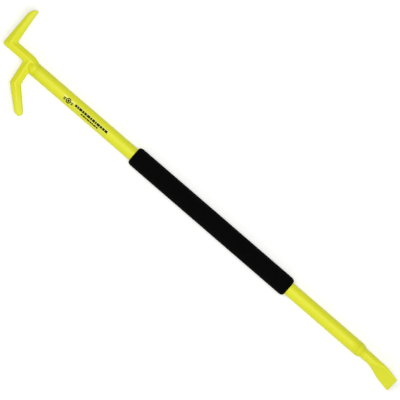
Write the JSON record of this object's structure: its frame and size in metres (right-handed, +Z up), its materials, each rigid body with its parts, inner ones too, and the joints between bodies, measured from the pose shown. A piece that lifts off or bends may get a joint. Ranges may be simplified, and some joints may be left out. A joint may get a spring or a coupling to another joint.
{
  "type": "roof hook",
  "caption": "Steel roof hook: bare tube with a chisel blade and a bent claw at the head, a foam hand grip at the middle and a bent flat pry blade at the foot.",
  "frame": {"origin": "on the ground under the middle of the tool, which lies on its foam grip", "axes": "+X along the shaft from the head to the pry end, the hooks lie in the XY plane with the blade on the +Y side and the claw on the -Y side, +Z up"},
  "size_m": [0.9144, 0.164, 0.0413],
  "materials": {
    "powder_coat": "semi-gloss fluorescent lime powder coat",
    "bare_steel": "mill finish, not coated",
    "foam": "matte closed-cell foam",
    "label_vinyl": "clear film, shows the coat below",
    "label_ink": "black print"
  },
  "bodies": {
    "root": {"shaft_tube": "powder_coat", "top_hook": "powder_coat", "side_claw": "powder_coat", "head_core": "bare_steel", "pry_end": "powder_coat", "head_weld": "powder_coat", "claw_weld": "powder_coat", "pry_weld": "powder_coat", "foam_grip": "foam", "label_film": "label_vinyl", "label_print": "label_ink"}
  },
  "joints": []
}
